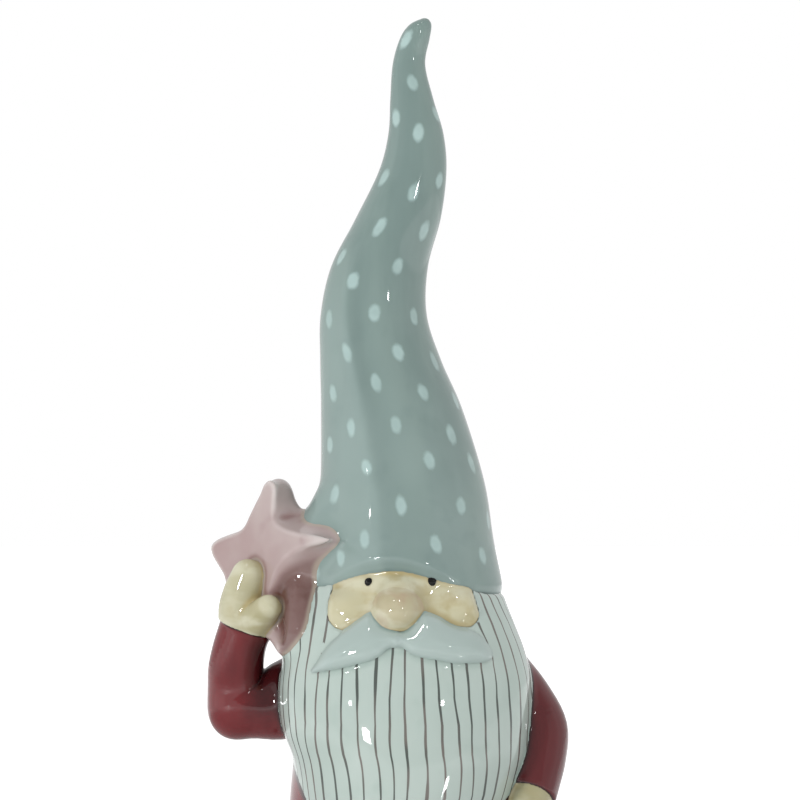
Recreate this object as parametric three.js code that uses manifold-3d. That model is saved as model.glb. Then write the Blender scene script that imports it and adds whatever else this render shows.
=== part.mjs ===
// A tall glazed-ceramic gnome figurine that holds up a star.
// Each piece is one casting or one pressed sprig, as a potter makes them before they are luted together.
// Units are millimetres, +Z is up, the face looks along -Y, and the origin is the middle of the underside.
import * as THREE from "three";
import { mergeVertices } from "three/addons/utils/BufferGeometryUtils.js";
import Module from "manifold-3d";

const wasm = await Module();
wasm.setup();

// Driving dimensions
const HEIGHT = 450; // underside of the felt to the tip of the hat
const SEAM = 0.3; // slip seam between two luted pieces
const WALL = 4; // thickness of a slip-cast wall
const FELT = { radius: 48, thick: 1.5 };
const FLOOR = FELT.thick + SEAM; // lowest ceramic surface
const FLOOR_THICK = 5;
const POUR_HOLE = 11; // radius of the pour hole in the base, which the felt covers
const POUR_HOLE_PLACE = [0, 26, FLOOR];
const AIR_HOLE = 4; // radius of the air holes between the cavities
const ARM_HOLES = [
  [-42, 7, 160],
  [42, 6, 166],
];
const BEARD_HOLE = [0, -47, 140];
const DRILL = 24; // how far an air hole's drill goes
const FAR = 80; // further than any piece reaches from the middle, for blocks that cut
const NECK = 178; // where the coat is cut away under the face
const CHEST = 240; // above the beard and the coat, below the hat's fold

// Hat: brim height at the sides, the brim's rise towards the face, and how far up that rise fades out
const BRIM = 203.5;
const BRIM_RISE = 0.19;
const BRIM_FADE = 40;

// Face
const EYE = { x: 13.1, z: 207.2, radius: 1.9, thick: 1.4 };
const FACE_WINDOW = { middle: 1.2, half_width: 30, bottom: 182, corner: 12 };

// Beard
const BEARD_BACK = 7; // how far behind the middle the beard's sides end

// Star: a thick five-pointed star that faces the front and the right hand's side
const STAR = {
  centre: [-56, -5, 210.8],
  points: 5,
  tip: 44.5,
  valley: 22.4,
  tip_rounding: 7.5, // powers of the soft limits that round the tips and the valleys: a lower one is rounder
  valley_rounding: 14,
  thick: 17,
  edge: 4.5,
  taper: 0.5, // the share of the thickness that is gone at the tips
  turn: 44,
};
const STAR_SEAT = [-33, -10, 225, 9.2, 12, 20]; // swelling of the hat that the star is luted to

// Horizontal sections from the bottom up: height, half width, half depth, middle x, middle y.
const COAT = [
  [FLOOR, 52.5, 52.5, 0, 0],
  [5, 56, 56, 0, 0],
  [14, 57, 57, 0, 0],
  [40, 55.3, 55.3, 0, 0],
  [80, 52, 52, 0, 0],
  [119, 49.3, 49.3, 0, 0],
  [140, 47, 47, 0, 0],
  [160, 44.5, 44.5, 0, 0],
  [176, 42.2, 42.2, 0, 0],
  [190, 40, 40, 0, 0],
  [202, 37.5, 37.5, 0, 0],
];
const HEAD = [
  [172, 30, 30, 0, 0],
  [179, 34, 34, 0, 0],
  [187, 36, 36.2, 0, 0],
  [200, 36, 36.4, 0, 0],
  [211, 34.4, 34.4, 0, 0],
  [221, 32.4, 32.4, 0, 0],
  [230, 30.6, 30.6, -0.6, 0.3],
];
const HAT = [
  [BRIM, 41, 41, 0.5, 0],
  [209, 40.4, 40.4, 0.3, 0.2],
  [225, 38, 38, -0.5, 0.8],
  [250, 35.2, 35.2, -1.7, 2],
  [281, 30.5, 30.5, -6.5, 4],
  [302, 26.2, 26.2, -11.3, 5],
  [322, 23, 23, -14.4, 5.5],
  [343, 21, 21, -11.8, 5.5],
  [364, 18.4, 18.4, -3.6, 5],
  [384, 14.7, 14.7, 2.6, 4],
  [400, 12, 12, 4.1, 3],
  [415, 9.4, 9.4, 2.4, 2],
  [430, 7.1, 7.1, 1.2, 1],
  [441, 6.5, 6.5, 3.7, 0.5],
  [447, 4.9, 4.9, 6.2, 0],
  [HEIGHT, 1.2, 1.2, 8.4, 0],
];
const BEARD = [
  [66, 16, 44, 0, -6],
  [71, 25, 48.5, 0, -6],
  [79, 31.5, 51.5, 0, -6],
  [89, 36.5, 53, 0.2, -6],
  [100, 40.2, 53.8, 0.4, -6],
  [113, 43.8, 54.2, 0.6, -6],
  [132, 49.3, 54, 1.8, -6],
  [144, 52.4, 53, 0.4, -6],
  [156, 53.6, 51, 0, -6],
  [167, 53.3, 48, 0, -6],
  [178, 50.8, 44.7, 0, -5.8],
  [188, 47, 41.2, 0, -5.3],
  [198, 43, 38, 0, -4.5],
  [207, 40.3, 36, 0, -3.5],
  [214, 38.5, 35, 0, -3],
];
const BOOT_HEEL = -30; // the boots' flat backs, inside the coat's wall
const BOOT_OFFSET = 22.5; // from the middle of the figure to the middle of each boot
const BOOT = [
  [FLOOR, 14.5, 24.5, 0, -44.5],
  [4, 16.6, 27, 0, -44.8],
  [9, 17.4, 28, 0, -44.5],
  [15, 16, 26, 0, -43],
  [20, 12.5, 21.5, 0, -41],
  [24, 6, 12, 0, -40],
];

// Sections square to a path: x, y, z, half height across the path, half depth.
const RAISED_SLEEVE = [
  [-30, 8, 160, 18, 15],
  [-47, 7.5, 157.3, 17.8, 15.5],
  [-60, 6, 153, 14.2, 14.2],
  [-71, 4.5, 156.5, 13, 13],
  [-73.6, 2.6, 166, 12.2, 12.4],
  [-72.3, 0, 176, 11.5, 11.8],
  [-69.3, -2.5, 186.4, 11, 11.2],
];
const RAISED_FINGERS = [
  [-69.6, -3.5, 187, 10.6, 10],
  [-71.3, -7, 194, 9.4, 8.6],
  [-70.6, -9.6, 202, 8.2, 6.6],
  [-69, -11, 209.5, 7.4, 5.4],
  [-68.2, -11.6, 213.6, 4.8, 3.8],
];
const RAISED_THUMB = [
  [-67, -5, 186.5, 8, 8],
  [-62.5, -13, 189.8, 7, 7],
  [-57.5, -19.3, 194.3, 5.8, 5.4],
  [-54.7, -22.4, 197.2, 4.2, 3.8],
];
const LOWERED_SLEEVE = [
  [33, 6, 173, 13, 13],
  [42.5, 6, 164.5, 13.2, 13.5],
  [50.5, 5, 154.5, 13, 13.6],
  [55.6, 2.5, 143, 12.6, 13.2],
  [56.3, -2, 132.5, 12.2, 12.6],
  [54.9, -7, 124, 11.8, 12],
  [52.4, -12.5, 115.8, 11.3, 11.5],
];
const LOWERED_HAND = [
  [52.2, -13, 115.2, 10, 10.2],
  [49.6, -18, 109, 9.8, 9.4],
  [46.5, -24, 102, 9.6, 8.2],
  [43.5, -29, 95, 7.6, 6.4],
  [42, -31.5, 91.5, 4.4, 3.8],
];
// The moustache's halves, each from the middle to its tip. The right one hangs lower and ends in a point.
const MOUSTACHE_RIGHT = [
  [0, -48.5, 181, 4.2, 6],
  [-5.5, -48.8, 181.7, 7.6, 6.8],
  [-12, -48.2, 182, 9.6, 7],
  [-20, -46, 177.6, 7.8, 6.6],
  [-28.7, -42, 173.2, 5.2, 5.4],
  [-36.4, -37.4, 167.4, 2.2, 3],
];
const MOUSTACHE_LEFT = [
  [0, -48.5, 181, 4.2, 6],
  [5.5, -48.8, 181.7, 7.6, 6.8],
  [12, -48.2, 182.7, 9.8, 7],
  [20, -46, 179.3, 8, 6.6],
  [27.5, -42.4, 176.6, 6.3, 5.8],
  [33.5, -39.4, 175.2, 4.6, 4.4],
  [37.4, -37, 175, 2.2, 3],
];

// Rounded lumps: middle, then half sizes
const NOSE = [
  [0, -41.5, 195.5, 10.4, 11.5, 10.2],
  [0, -38, 201.5, 8.4, 7.5, 9],
];
const CHEEKS = [
  [-21.5, -27.5, 196.5, 10.4, 12.5, 12],
  [21.5, -27.5, 196.5, 10.4, 12.5, 12],
];
const BROW = [0, -20, 205, 27, 18.5, 13];
const ELBOW = [-74.3, 4.6, 150.6, 11, 12.4, 11.6];

// A geometry as a solid. Only the positions are kept, so that shared vertices merge.
function solid(geometry) {
  geometry.deleteAttribute("normal");
  geometry.deleteAttribute("uv");
  const merged = mergeVertices(geometry, 1e-4);
  return new wasm.Manifold(
    new wasm.Mesh({
      numProp: 3,
      vertProperties: merged.attributes.position.array,
      triVerts: new Uint32Array(merged.index.array),
    }),
  );
}

// A closed barrel of unit radius whose vertices are handed to place(x, y, t), with t from 0 to 1 along it.
function barrel(steps, sides, place) {
  const outline = [new THREE.Vector2(0, 0)];
  for (let i = 0; i <= steps; i++) outline.push(new THREE.Vector2(1, i / steps));
  outline.push(new THREE.Vector2(0, 1));
  const geometry = new THREE.LatheGeometry(outline, sides);
  const position = geometry.getAttribute("position");
  for (let i = 0; i < position.count; i++) {
    const point = place(position.getX(i), -position.getZ(i), position.getY(i));
    position.setXYZ(i, point.x, point.y, point.z);
  }
  return solid(geometry);
}

function curveOf(rows, columns) {
  const points = rows.map((row) => new THREE.Vector3(...columns.map((c) => row[c])));
  return new THREE.CatmullRomCurve3(points, false, "catmullrom", 0.5);
}

// Horizontal sections skinned from the bottom up. grow moves the skin out, and a negative one moves it in.
function stack(rows, grow = 0, steps = 16, sides = 32) {
  const size = curveOf(rows, [1, 2, 0]);
  const middle = curveOf(rows, [3, 4, 0]);
  return barrel(steps, sides, (x, y, t) => {
    const s = size.getPoint(t);
    const m = middle.getPoint(t);
    const half_x = Math.max(s.x + grow, 0.2);
    const half_y = Math.max(s.y + grow, 0.2);
    return new THREE.Vector3(m.x + x * half_x, m.y + y * half_y, s.z);
  });
}

// Sections square to a path, skinned from its start to its end, with both ends domed.
function limb(rows, grow = 0, steps = 12, sides = 14, dome = 0.5) {
  const path = curveOf(rows, [0, 1, 2]);
  const size = curveOf(rows, [3, 4, 3]);
  const depth = new THREE.Vector3(0, 1, 0);
  return barrel(steps, sides, (x, y, t) => {
    const at = path.getPoint(t);
    const along = path.getTangent(t);
    const across = new THREE.Vector3().crossVectors(depth, along).normalize();
    const deep = new THREE.Vector3().crossVectors(along, across);
    const s = size.getPoint(t);
    const on_axis = x === 0 && y === 0;
    const end = t === 0 ? -1 : t === 1 ? 1 : 0;
    const push = on_axis ? end * (dome * s.x + grow) : (end * grow) / 2;
    return at
      .addScaledVector(across, x * (s.x + grow))
      .addScaledVector(deep, y * (s.y + grow))
      .addScaledVector(along, push);
  });
}

function lump([x, y, z, half_x, half_y, half_z], grow = 0, around = 16) {
  const geometry = new THREE.SphereGeometry(1, around, Math.round(around * 0.6));
  geometry.scale(half_x + grow, half_y + grow, half_z + grow).translate(x, y, z);
  return solid(geometry);
}

function block(low, high) {
  const size = high.map((value, axis) => value - low[axis]);
  const geometry = new THREE.BoxGeometry(...size);
  geometry.translate(...low.map((value, axis) => value + size[axis] / 2));
  return solid(geometry);
}

function rod(radius, length, [x, y, z], axis = "z") {
  const geometry = new THREE.CylinderGeometry(radius, radius, length, 20);
  if (axis === "z") geometry.rotateX(Math.PI / 2);
  if (axis === "x") geometry.rotateZ(Math.PI / 2);
  return solid(geometry.translate(x, y, z));
}

// Lifts the hat's lower edge towards the face. The lift fades out above the brim.
function tilted(shape) {
  return shape.warp((vertex) => {
    const fade = Math.min(Math.max((BRIM + BRIM_FADE - vertex[2]) / BRIM_FADE, 0), 1);
    vertex[2] -= BRIM_RISE * vertex[1] * fade;
  });
}

function hatForm(grow = 0) {
  const rows = HAT.map((row, i) => (i === 0 ? [row[0] - grow, ...row.slice(1)] : row));
  return tilted(stack(rows, grow, 26)).add(lump(STAR_SEAT, grow));
}

function coatForm(grow = 0) {
  return stack(COAT, grow, 12, 36);
}

function faceForm(grow = 0) {
  const lumps = [...CHEEKS, BROW].map((row) => lump(row, grow));
  return lumps.reduce((all, one) => all.add(one), stack(HEAD, grow, 10));
}

function noseForm(grow = 0) {
  return lump(NOSE[0], grow).add(lump(NOSE[1], grow, 14));
}

function moustacheForm(side, grow = 0) {
  return limb(side < 0 ? MOUSTACHE_RIGHT : MOUSTACHE_LEFT, grow, 9, 12);
}

function raisedSleeveForm(grow = 0) {
  return limb(RAISED_SLEEVE, grow, 12, 16, 0).add(lump(ELBOW, grow));
}

function loweredSleeveForm(grow = 0) {
  return limb(LOWERED_SLEEVE, grow, 10, 16, 0);
}

function beardForm(grow = 0) {
  const front = block([-FAR, -FAR, 0], [FAR, BEARD_BACK + grow, CHEST]);
  return stack(BEARD, grow, 16, 36).intersect(front);
}

// The opening in the beard that the face shows through
function faceWindow() {
  const { middle, half_width, bottom, corner } = FACE_WINDOW;
  const shape = new THREE.Shape();
  shape.moveTo(-half_width, BRIM + BRIM_FADE);
  shape.lineTo(-half_width, bottom + corner);
  shape.quadraticCurveTo(-half_width, bottom, corner - half_width, bottom);
  shape.lineTo(half_width - corner, bottom);
  shape.quadraticCurveTo(half_width, bottom, half_width, bottom + corner);
  shape.lineTo(half_width, BRIM + BRIM_FADE);
  shape.closePath();
  const geometry = new THREE.ExtrudeGeometry(shape, { depth: FAR, bevelEnabled: false, curveSegments: 6 });
  return solid(geometry.rotateX(Math.PI / 2).translate(middle, 0, 0));
}

// How far the star's outline is from its middle, at an angle counted from the middle of a tip
function starReach(angle) {
  const half = Math.PI / STAR.points;
  const off = Math.abs(THREE.MathUtils.euclideanModulo(angle + half, 2 * half) - half);
  const { tip, valley, tip_rounding, valley_rounding } = STAR;
  const straight = (tip * valley * Math.sin(half)) / (tip * Math.sin(off) + valley * Math.sin(half - off));
  const blunt = Math.pow(straight ** -tip_rounding + (0.95 * tip) ** -tip_rounding, -1 / tip_rounding);
  return Math.pow(blunt ** valley_rounding + (1.04 * valley) ** valley_rounding, 1 / valley_rounding);
}

function starForm(grow = 0) {
  const bends = [-90, -45, 0, 0, 45, 90].map(THREE.MathUtils.degToRad);
  const last = bends.length - 1;
  const flat = STAR.thick / 2 - STAR.edge;
  const round = STAR.edge + grow;
  const plump = barrel(last, 50, (x, y, t) => {
    const bend = bends[Math.round(t * last)];
    const reach = starReach(Math.atan2(x, y));
    const rim = reach - STAR.edge + round * Math.cos(bend);
    const deep = flat * Math.sign(t - 0.5) + round * Math.sin(bend);
    const taper = 1 - STAR.taper * ((Math.hypot(x, y) * reach) / STAR.tip) ** 2;
    return new THREE.Vector3(x * rim, y * rim, deep * taper);
  });
  return plump.rotate([90, 0, -STAR.turn]).translate(STAR.centre);
}

// Everything below is cut by the seams to the pieces that it is luted to.
const hatSeat = hatForm(SEAM);
const coatSeat = coatForm(SEAM);
const faceSeat = faceForm(SEAM);
const noseSeat = noseForm(SEAM);
const beardSeat = beardForm(SEAM);

function hatCasting() {
  const cavity = HAT.map((row, i) => (i === 0 ? [row[0] - WALL, ...row.slice(1)] : row));
  cavity[cavity.length - 1] = [HEIGHT - 2 * WALL, 1, 1, 6, 0];
  return hatForm().subtract(tilted(stack(cavity, -WALL, 18, 22)));
}

function headCasting() {
  const cavity = HEAD.map((row) => [...row]);
  cavity[0][0] -= WALL;
  cavity[cavity.length - 1][0] += WALL;
  return faceForm().subtract(stack(cavity, -WALL, 6, 20)).subtract(hatFloorRing());
}

// The space that the hat's wall takes up, which the brow stays clear of
function hatFloorRing() {
  const cavity = HAT.map((row, i) => (i === 0 ? [row[0] - 2 * WALL, ...row.slice(1)] : row));
  return hatSeat.subtract(tilted(stack(cavity, -WALL - SEAM, 18, 22)));
}

function coatCasting() {
  const cavity = COAT.map((row) => [...row]);
  cavity[0][0] = FLOOR + FLOOR_THICK;
  cavity[1][0] += FLOOR_THICK;
  cavity[cavity.length - 1][0] += WALL;
  const under_face = block([-FAR, -FAR, NECK], [FAR, BEARD_BACK - 2, CHEST]);
  let casting = coatForm().subtract(stack(cavity, -WALL, 10, 24)).subtract(under_face);
  casting = casting.subtract(hatSeat).subtract(faceSeat);
  const holes = [
    rod(POUR_HOLE, DRILL, POUR_HOLE_PLACE),
    ...ARM_HOLES.map((at) => rod(AIR_HOLE, DRILL, at, "x")),
    rod(AIR_HOLE, DRILL, BEARD_HOLE, "y"),
  ];
  return holes.reduce((all, hole) => all.subtract(hole), casting);
}

function beardCasting() {
  const shell = beardForm().subtract(stack(BEARD, -WALL - 1, 12, 24));
  const moustaches = [-1, 1].map((side) => moustacheForm(side, 2 * SEAM));
  const pieces = [coatSeat, faceSeat, noseSeat, hatSeat, ...moustaches];
  const cut = pieces.reduce((all, piece) => all.subtract(piece), shell.subtract(faceWindow()));
  return largest(cut);
}

function moustacheHalf(side) {
  const far_side = (side * (FAR + SEAM)) / 2;
  const half = block([-FAR / 2, -FAR, 0], [FAR / 2, FAR, CHEST]).translate(far_side, 0, 0);
  return largest(moustacheForm(side).intersect(half).subtract(faceSeat).subtract(noseSeat));
}

function sleeveCasting(form, rows) {
  const end = rows.length - 1;
  const cavity = rows.slice(0, end);
  cavity.push(rows[end].map((value, i) => (i < 3 ? (value + rows[end - 1][i]) / 2 : value)));
  const shell = form.subtract(limb(cavity, -WALL, 10, 12, 0.2));
  return largest(shell.subtract(coatSeat).subtract(beardSeat));
}

// The biggest body of a cut piece, without the crumbs that a cut leaves
function largest(shape) {
  return shape.decompose().reduce((best, body) => (body.volume() > best.volume() ? body : best));
}

function raisedHand() {
  const hand = limb(RAISED_FINGERS, 0, 8).add(limb(RAISED_THUMB, 0, 6, 12));
  return largest(hand.subtract(raisedSleeveForm(SEAM)).subtract(starForm(SEAM)));
}

function loweredHand() {
  const hand = limb(LOWERED_HAND, 0, 8).subtract(loweredSleeveForm(SEAM));
  return largest(hand.subtract(coatSeat).subtract(beardSeat));
}

function star() {
  return largest(starForm().subtract(hatSeat).subtract(beardSeat).subtract(raisedSleeveForm(SEAM)));
}

function boot(side) {
  const rows = BOOT.map(([z, half_x, half_y, x, y]) => [z, half_x, half_y, x + side * BOOT_OFFSET, y]);
  const behind = block([-FAR, BOOT_HEEL, -FAR], [FAR, FAR, FAR]);
  return largest(stack(rows, 0, 7, 20).subtract(coatSeat).subtract(behind));
}

function eye(side) {
  const { x, z, radius, thick } = EYE;
  const bead = lump([side * x, eyeDepth(), z, radius, thick, radius], 0, 14);
  return largest(bead.subtract(faceSeat));
}

// How far forward the brow is at the eyes
function eyeDepth() {
  const [, y, z, half_x, half_y, half_z] = BROW;
  const across = (EYE.x / half_x) ** 2 + ((EYE.z - z) / half_z) ** 2;
  return y - half_y * Math.sqrt(1 - across);
}

function felt() {
  return rod(FELT.radius, FELT.thick, [0, 0, FELT.thick / 2]);
}

function material(hex, roughness = 0.12) {
  return new THREE.MeshStandardMaterial({ color: hex, roughness, metalness: 0 });
}

const glaze = {
  burgundy: material(0x6e2c33),
  sage: material(0x83968f),
  skin: material(0xd5c8a0),
  white: material(0xdfe8e4),
  rose: material(0xb89a9a),
  black: material(0x101010),
  charcoal: material(0x2b2826),
  felt: material(0x39423d, 0.95),
};

const gnome = new THREE.Group();

function place(name, shape, finish) {
  const mesh = shape.getMesh();
  const geometry = new THREE.BufferGeometry();
  geometry.setAttribute("position", new THREE.BufferAttribute(mesh.vertProperties, 3));
  geometry.setIndex(new THREE.BufferAttribute(mesh.triVerts, 1));
  geometry.computeVertexNormals();
  const piece = new THREE.Mesh(geometry, finish);
  piece.name = name;
  gnome.add(piece);
}

place("felt_base", felt(), glaze.felt);
place("coat_casting", coatCasting(), glaze.burgundy);
place("head_casting", headCasting(), glaze.skin);
place("hat_casting", hatCasting(), glaze.sage);
place("beard_casting", beardCasting(), glaze.white);
place("nose", largest(noseForm().subtract(faceSeat)), glaze.skin);
place("star", star(), glaze.rose);
place("raised_sleeve", sleeveCasting(raisedSleeveForm(), RAISED_SLEEVE), glaze.burgundy);
place("raised_hand", raisedHand(), glaze.skin);
place("lowered_sleeve", sleeveCasting(loweredSleeveForm(), LOWERED_SLEEVE), glaze.burgundy);
place("lowered_hand", loweredHand(), glaze.skin);
for (const [side, word] of [
  [-1, "right"],
  [1, "left"],
]) {
  place(`moustache_${word}`, moustacheHalf(side), glaze.white);
  place(`eye_${word}`, eye(side), glaze.black);
  place(`boot_${word}`, boot(side), glaze.charcoal);
}

export default gnome;
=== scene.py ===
import math
from collections import namedtuple

import bpy
import numpy as np
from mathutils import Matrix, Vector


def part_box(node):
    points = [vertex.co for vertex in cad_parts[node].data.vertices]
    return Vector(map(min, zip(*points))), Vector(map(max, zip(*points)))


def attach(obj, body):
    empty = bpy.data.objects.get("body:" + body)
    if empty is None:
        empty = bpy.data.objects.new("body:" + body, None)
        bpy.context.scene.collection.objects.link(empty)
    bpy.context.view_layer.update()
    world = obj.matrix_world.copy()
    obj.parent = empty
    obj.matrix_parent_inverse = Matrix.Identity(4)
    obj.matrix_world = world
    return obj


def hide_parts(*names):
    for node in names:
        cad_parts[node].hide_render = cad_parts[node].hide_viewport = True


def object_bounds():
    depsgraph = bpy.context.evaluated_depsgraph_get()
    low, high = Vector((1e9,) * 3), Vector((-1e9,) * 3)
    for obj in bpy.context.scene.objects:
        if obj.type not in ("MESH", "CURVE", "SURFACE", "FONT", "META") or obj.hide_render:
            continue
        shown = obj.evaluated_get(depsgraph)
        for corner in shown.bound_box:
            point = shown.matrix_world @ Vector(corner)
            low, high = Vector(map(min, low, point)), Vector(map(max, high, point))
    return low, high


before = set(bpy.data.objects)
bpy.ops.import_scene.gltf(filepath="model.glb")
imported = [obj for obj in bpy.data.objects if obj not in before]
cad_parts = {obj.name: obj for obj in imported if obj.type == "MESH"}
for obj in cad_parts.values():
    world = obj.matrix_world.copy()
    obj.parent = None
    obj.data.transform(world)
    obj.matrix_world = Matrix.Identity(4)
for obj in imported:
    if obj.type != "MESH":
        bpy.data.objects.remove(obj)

import openvdb
from mathutils import Vector

# A glazed ceramic gnome. Each piece is modelled as a distance field in millimetres. The fields are blended
# into one skin of glaze, which is meshed piece by piece, so that neighbours meet in soft glazed fillets.

# --- The frame ------------------------------------------------------------------------------------------

CAD_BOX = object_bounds()
CAD_LOW, CAD_HIGH = (np.array(corner, float) for corner in CAD_BOX)
MM = 0.001
HEIGHT = (CAD_HIGH[2] - CAD_LOW[2]) / MM  # underside of the felt to the tip of the hat
UNIT = HEIGHT / 450  # the stations below are written for a figure 450 high
METRES_HIGH = HEIGHT * MM


def box_mm(node):
    low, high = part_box(node)
    return np.array(low) / MM, np.array(high) / MM


# --- Stations, in units of HEIGHT / 450 -----------------------------------------------------------------

FLOOR = box_mm("coat_casting")[0][2]  # lowest ceramic surface
BRIM = 201.5  # the hat's lower edge at the sides
BRIM_LIFT = 14  # how much higher it is over the face
BRIM_DROP = 0.19  # and how steeply it falls towards the back
BRIM_PEAK = math.radians(7)  # how far to its right the brim is highest
BRIM_FADE = 40  # how far above the brim both fade out
BRIM_FRONT = 41  # how far forward of the hat's middle the whole lift is reached
BRIM_ARCH = 4  # how late it rises on the way there: a power
BRIM_NAPE = 12  # how gently the fall begins behind it
BRIM_ROUND = 4.5  # how softly the brim's lower edge is rounded
CUT = 7  # how far behind the middle the beard's sides end
NECK = 178  # the height above which the head shows and the coat is cut away

# Horizontal sections from the bottom up: height, half width, half depth, middle x, middle y.
COAT = [
    (FLOOR, 52.5, 52.5, 0, 0),
    (5, 56, 56, 0, 0),
    (14, 57, 57, 0, 0),
    (40, 55.3, 55.3, 0, 0),
    (80, 52, 52, 0, 0),
    (119, 49.3, 49.3, 0, 0),
    (140, 47, 47, 0, 0),
    (160, 44.5, 44.5, 0, 0),
    (176, 42.2, 42.2, 0, 0),
    (190, 40, 40, 0, 0),
    (202, 37.5, 37.5, 0, 0),
]
COAT_HEM, COAT_EDGE = 3, 2  # how softly its foot and its cut edge are rounded
COAT_OVERLAP = 2  # how far it runs under the sides of the beard
HEAD = [
    (172, 30, 30, 0, 0),
    (179, 34, 34, 0, 0),
    (187, 36, 36.2, 0, 0),
    (200, 36, 36.4, 0, 0),
    (211, 34.4, 34.4, 0, 0),
    (221, 32.4, 32.4, 0, 0),
    (230, 30.6, 30.6, -0.6, 0.3),
]
HAT = [
    (BRIM, 41.4, 41.4, 0.5, 0),
    (209, 40.4, 40.4, 0.3, 0.2),
    (225, 38, 38, -0.5, 0.8),
    (250, 35.2, 35.2, -1.7, 2),
    (281, 30.5, 30.5, -6.5, 4),
    (302, 26.2, 26.2, -11.3, 5),
    (322, 23, 23, -14.4, 5.5),
    (343, 21, 21, -11.8, 5.5),
    (364, 18.4, 18.4, -3.6, 5),
    (384, 14.7, 14.7, 2.6, 4),
    (400, 12, 12, 4.1, 3),
    (415, 9.4, 9.4, 2.4, 2),
    (430, 7.1, 7.1, 1.2, 1),
    (441, 6.5, 6.5, 3.7, 0.5),
    (447, 4.9, 4.9, 6.2, 0),
    (450, 1.2, 1.2, 8.4, 0),
]
# A soft crease down the hat's right side. Angles round the hat are in radians from its front.
FOLD = {
    "angle": -0.41,
    "lean": -0.0022,  # turn for each unit of height
    "middle": 290,
    "half_length": 34,
    "fade": 14,
    "rise": 1.3,
    "width": 0.16,
    "hollow": 0.8,  # depth of the hollow beside the crest, as a share of the rise
    "hollow_angle": 0.34,
    "hollow_width": 0.2,
}
BEARD = [
    (66, 16, 44, 0, -6),
    (71, 25, 48.5, 0, -6),
    (79, 31.5, 51.5, 0, -6),
    (89, 36.5, 53, 0.2, -6),
    (100, 40.2, 53.8, 0.4, -6),
    (113, 43.8, 54.2, 0.6, -6),
    (132, 49.3, 54, 1.8, -6),
    (144, 52.4, 53, 0.4, -6),
    (156, 53.6, 51, 0, -6),
    (167, 53.3, 48, 0, -6),
    (178, 50.8, 44.7, 0, -5.8),
    (188, 47, 41.2, 0, -5.3),
    (198, 43, 38, 0, -4.5),
    (207, 40.3, 36, 0, -3.5),
    (214, 38.5, 35, 0, -3),
]
BEARD_EDGE, BEARD_BACK_EDGE = 2, 3  # how softly its edges are rounded
BOOT = [
    (FLOOR, 14.5, 24.5, 0, -44.5),
    (4, 16.6, 27, 0, -44.8),
    (9, 17.4, 28, 0, -44.5),
    (15, 16, 26, 0, -43),
    (20, 12.5, 21.5, 0, -41),
    (24, 6, 12, 0, -40),
]
BOOT_OFFSET = 22.5
BOOT_SOLE = 3  # how softly its lower edge is rounded

# Sections square to a path: x, y, z, half height across the path, half depth.
RAISED_SLEEVE = [
    (-30, 8, 160, 18, 15),
    (-47, 7.5, 157.3, 17.8, 15.5),
    (-60, 6, 153, 14.2, 14.2),
    (-71, 4.5, 156.5, 13, 13),
    (-73.6, 2.6, 166, 12.2, 12.4),
    (-72.3, 0, 176, 11.5, 11.8),
    (-69.3, -2.5, 186.4, 11, 11.2),
    (-66.5, -4.8, 196, 10.6, 10.8),
]
RAISED_FINGERS = [
    (-69.6, -3.5, 185, 10.2, 10),
    (-70.6, -7, 194, 9.4, 8.6),
    (-69, -9.6, 202, 8.6, 6.8),
    (-66.8, -11, 209.4, 7.2, 5.6),
]
RAISED_THUMB = [
    (-68, -4, 185, 8, 8),
    (-63, -12.5, 190.3, 7.4, 7.4),
    (-58.6, -18.3, 194.6, 6.2, 5.8),
    (-57, -20.3, 196, 5.6, 5.2),
]
LOWERED_SLEEVE = [
    (33, 6, 173, 13, 13),
    (42.5, 6, 164.5, 13.2, 13.5),
    (50.5, 5, 154.5, 13, 13.6),
    (56.4, 2.5, 144, 12.6, 13.2),
    (56.2, -2, 133, 12.2, 12.6),
    (54.4, -7, 124, 11.8, 12),
    (52.4, -12.5, 115.8, 11.3, 11.5),
    (49.6, -18, 108, 11, 11),
]
LOWERED_HAND = [
    (52.2, -13, 115.2, 10.2, 10.4),
    (49.6, -18, 109, 9.8, 9.4),
    (46.5, -24, 102, 9.4, 8.2),
    (43.8, -28.6, 95.6, 7.4, 6.4),
]
CUFF = 6  # the station of either sleeve near which its hand begins
RAISED_CUFF, LOWERED_CUFF = 2.6, -1.6  # and how far beyond that station
CUFF_EDGE = 1.2  # how softly a cuff is rounded
ELBOW_BLEND, THUMB_BLEND = 6, 2.2

# Rounded lumps: middle, then half sizes
NOSE = (-0.8, -41, 195.2, 10, 11.5, 9.6)
BRIDGE = (-0.4, -35.6, 201, 9, 9.5, 8.6)
CHEEKS = [(-21.5, -29.6, 194.6, 12, 9, 9), (22.5, -29.6, 196, 11, 9, 8.5)]
BROW = (0, -20, 205, 27, 18.5, 13)
FACE_DEPTH = 2.2  # how far the face lies below the beard's surface
FACE_INSET = 0.3  # and how far inside the opening in the beard
BROW_BLEND, CHEEK_BLEND, HEAD_BLEND, FACE_EDGE = 4, 5, 3, 1.5  # how softly these run into the face
ELBOW = (-74.3, 4.6, 150.6, 11, 12.4, 11.6)
STAR_SEAT = (-33, -10, 225, 9.2, 12, 20)  # swelling of the hat that the star is luted to
SEAT_BLEND = 9

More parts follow.
